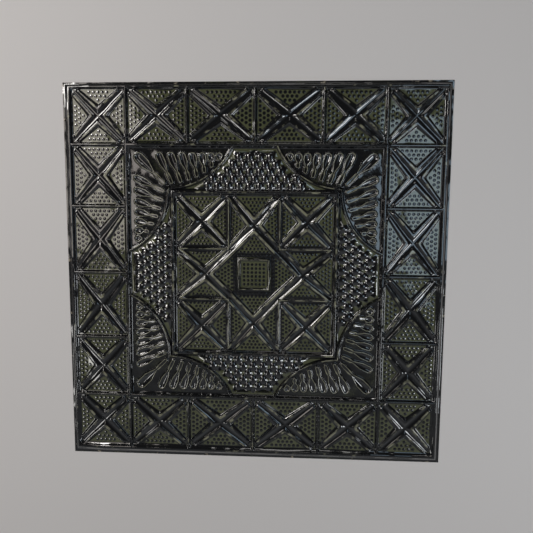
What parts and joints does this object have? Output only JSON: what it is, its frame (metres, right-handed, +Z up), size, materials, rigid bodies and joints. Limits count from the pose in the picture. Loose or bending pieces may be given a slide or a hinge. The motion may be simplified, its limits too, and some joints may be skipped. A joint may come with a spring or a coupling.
{
  "type": "pressed tin ceiling tile",
  "caption": "Square pressed tin ceiling tile with raised ribs, crossed cells, corner fans and a boss lattice, for nailing to battens.",
  "frame": {"origin": "middle of the flat underside", "axes": "+Z up out of the patterned face, +X along one edge, +Y along the edge that was uppermost as it leaned"},
  "size_m": [0.61, 0.61, 0.0064],
  "materials": {
    "painted_tin": "gloss black over olive green, worn"
  },
  "bodies": {
    "root": {"pressed_sheet": "painted_tin"}
  },
  "joints": []
}
